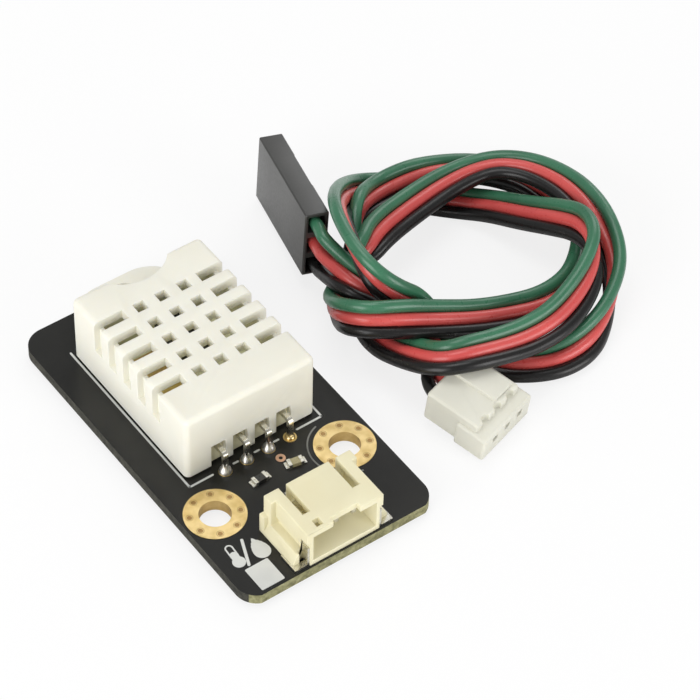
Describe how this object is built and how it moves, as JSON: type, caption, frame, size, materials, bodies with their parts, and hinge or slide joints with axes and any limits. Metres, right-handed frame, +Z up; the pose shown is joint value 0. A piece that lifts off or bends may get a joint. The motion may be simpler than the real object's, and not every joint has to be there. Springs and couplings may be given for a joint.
{
  "type": "temperature humidity sensor",
  "caption": "Temperature and humidity sensor in a vented ivory case on a black carrier board with plated mounting holes, a cable socket and a coiled ribbon lead.",
  "frame": {"origin": "middle of the board assembly's footprint, on the surface it stands on, under the board's centre", "axes": "+Z up, -Y towards the cable socket at the board's front edge, +X towards the side where the lead lies"},
  "size_m": [0.058, 0.0454, 0.0117],
  "materials": {
    "board_black": "satin solder mask",
    "gold_plate": "bright gold plating",
    "case_ivory": "fine matt moulding",
    "core_green": "solder mask",
    "part_black": "matt",
    "part_tan": "ceramic",
    "tin": "bright tin",
    "socket_cream": "satin nylon",
    "housing_black": "satin nylon",
    "plug_white": "satin nylon",
    "brass_plate": "tinned phosphor bronze",
    "wire_green": "glossy sheath",
    "wire_red": "glossy sheath",
    "wire_black": "glossy sheath"
  },
  "bodies": {
    "board": {"circuit_board": "board_black", "mounting_ring_left": "gold_plate", "mounting_ring_right": "gold_plate", "sensor_cover": "case_ivory", "sensor_back": "case_ivory", "sensing_board": "core_green", "humidity_element": "gold_plate", "thermistor": "part_black", "controller_chip": "part_black", "lead_supply": "tin", "lead_data": "tin", "lead_spare": "tin", "lead_ground": "tin", "lead_pads": "gold_plate", "solder_joints": "tin", "pull_up_resistor": "part_black", "decoupling_capacitor": "part_tan", "via_pad": "gold_plate", "header_housing": "socket_cream", "header_contact_signal": "tin", "header_contact_supply": "tin", "header_contact_ground": "tin", "header_tab_left": "tin", "header_tab_right": "tin"},
    "cable": {"socket_housing": "housing_black", "socket_terminal_green": "brass_plate", "socket_terminal_red": "brass_plate", "socket_terminal_black": "brass_plate", "plug_housing": "plug_white", "plug_terminal_green": "brass_plate", "plug_terminal_red": "brass_plate", "plug_terminal_black": "brass_plate", "wire_green": "wire_green", "wire_red": "wire_red", "wire_black": "wire_black"}
  },
  "joints": [
    {"name": "cable_lift", "type": "slide", "parent": "board", "child": "cable", "axis": [0, 0, 1], "range_m": [0, 0.04]}
  ]
}
